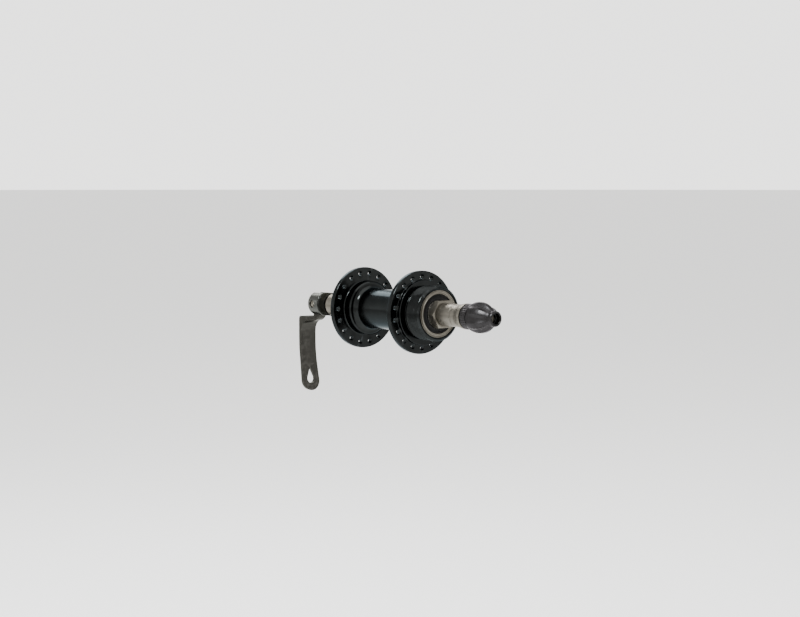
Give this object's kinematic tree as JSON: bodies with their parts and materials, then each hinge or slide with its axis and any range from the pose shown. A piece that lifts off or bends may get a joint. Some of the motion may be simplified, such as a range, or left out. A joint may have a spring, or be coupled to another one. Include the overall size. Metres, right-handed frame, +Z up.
{
  "type": "bicycle rear hub",
  "caption": "Small-flange rear bicycle hub with a screw-on freewheel thread, cup-and-cone ball bearings, hollow axle and a quick-release skewer with cam lever.",
  "frame": {"origin": "on the axle's centreline, midway between the outer faces of the two end locknuts", "axes": "+X forwards on the bicycle, +Y along the axle towards the quick-release lever, -Y towards the drive side, +Z up"},
  "size_m": [0.053, 0.1913, 0.0866],
  "materials": {
    "shell_black": "gloss black anodised",
    "plated_steel": "bright zinc plate",
    "satin_steel": "satin turned",
    "bearing_steel": "polished",
    "seal_rubber": "matte",
    "dark_steel": "black oxide",
    "housing_grey": "dark grey gloss",
    "lever_black": "satin black",
    "nut_dark": "gunmetal satin",
    "nylon": "matte"
  },
  "bodies": {
    "axle_assembly": {"axle": "plated_steel", "drive_cone": "bearing_steel", "drive_cone_seal": "seal_rubber", "drive_lock_washer": "plated_steel", "drive_hex_locknut": "plated_steel", "drive_spacer": "satin_steel", "drive_end_locknut": "satin_steel", "lever_side_cone": "bearing_steel", "lever_side_cone_seal": "seal_rubber", "lever_side_lock_washer": "plated_steel", "lever_side_spacer": "satin_steel", "lever_side_end_locknut": "satin_steel"},
    "hub_shell": {"hub_shell": "shell_black", "drive_cup": "bearing_steel", "drive_dust_cap": "plated_steel", "lever_side_cup": "bearing_steel", "lever_side_dust_cap": "plated_steel"},
    "drive_balls": {"drive_ball_1": "bearing_steel", "drive_ball_2": "bearing_steel", "drive_ball_3": "bearing_steel", "drive_ball_4": "bearing_steel", "drive_ball_5": "bearing_steel", "drive_ball_6": "bearing_steel", "drive_ball_7": "bearing_steel", "drive_ball_8": "bearing_steel", "drive_ball_9": "bearing_steel"},
    "lever_side_balls": {"lever_side_ball_1": "bearing_steel", "lever_side_ball_2": "bearing_steel", "lever_side_ball_3": "bearing_steel", "lever_side_ball_4": "bearing_steel", "lever_side_ball_5": "bearing_steel", "lever_side_ball_6": "bearing_steel", "lever_side_ball_7": "bearing_steel", "lever_side_ball_8": "bearing_steel", "lever_side_ball_9": "bearing_steel"},
    "skewer": {"skewer_rod": "plated_steel"},
    "cam_housing": {"cam_housing": "housing_grey", "base_ring": "dark_steel", "lever_side_spring": "plated_steel"},
    "lever": {"quick_release_lever": "lever_black", "cam_shaft": "plated_steel"},
    "nut_spring": {"nut_spring": "plated_steel"},
    "nut": {"quick_release_nut": "nut_dark", "nut_insert": "nylon"}
  },
  "joints": [
    {"name": "hub_spin", "type": "hinge", "parent": "axle_assembly", "child": "hub_shell", "pos_m": [0, 0, 0], "axis": [0, 1, 0], "continuous": true},
    {"name": "drive_bearing_spin", "type": "hinge", "parent": "axle_assembly", "child": "drive_balls", "pos_m": [0, -0.035, 0], "axis": [0, 1, 0], "continuous": true},
    {"name": "lever_side_bearing_spin", "type": "hinge", "parent": "axle_assembly", "child": "lever_side_balls", "pos_m": [0, 0.044, 0], "axis": [0, 1, 0], "continuous": true},
    {"name": "skewer_turn", "type": "hinge", "parent": "axle_assembly", "child": "skewer", "pos_m": [0, 0, 0], "axis": [0, 1, 0], "continuous": true},
    {"name": "housing_slide", "type": "slide", "parent": "skewer", "child": "cam_housing", "axis": [0, -1, 0], "range_m": [0, 0.0012]},
    {"name": "lever_swing", "type": "hinge", "parent": "cam_housing", "child": "lever", "pos_m": [0, 0.082, 0], "axis": [1, 0, 0], "range_deg": [0, 180]},
    {"name": "nut_travel", "type": "slide", "parent": "skewer", "child": "nut_spring", "axis": [0, -1, 0], "range_m": [0, 0.0048]},
    {"name": "nut_turn", "type": "hinge", "parent": "nut_spring", "child": "nut", "pos_m": [0, -0.08, 0], "axis": [0, -1, 0], "range_deg": [0, 2160]}
  ],
  "couplings": [
    {"joint": "drive_bearing_spin", "follows": "hub_spin", "ratio": 0.6151},
    {"joint": "lever_side_bearing_spin", "follows": "hub_spin", "ratio": 0.6151},
    {"joint": "housing_slide", "follows": "lever_swing", "m_per_rad": 0.00038197},
    {"joint": "nut_turn", "follows": "nut_travel", "rad_per_m": 7854}
  ]
}
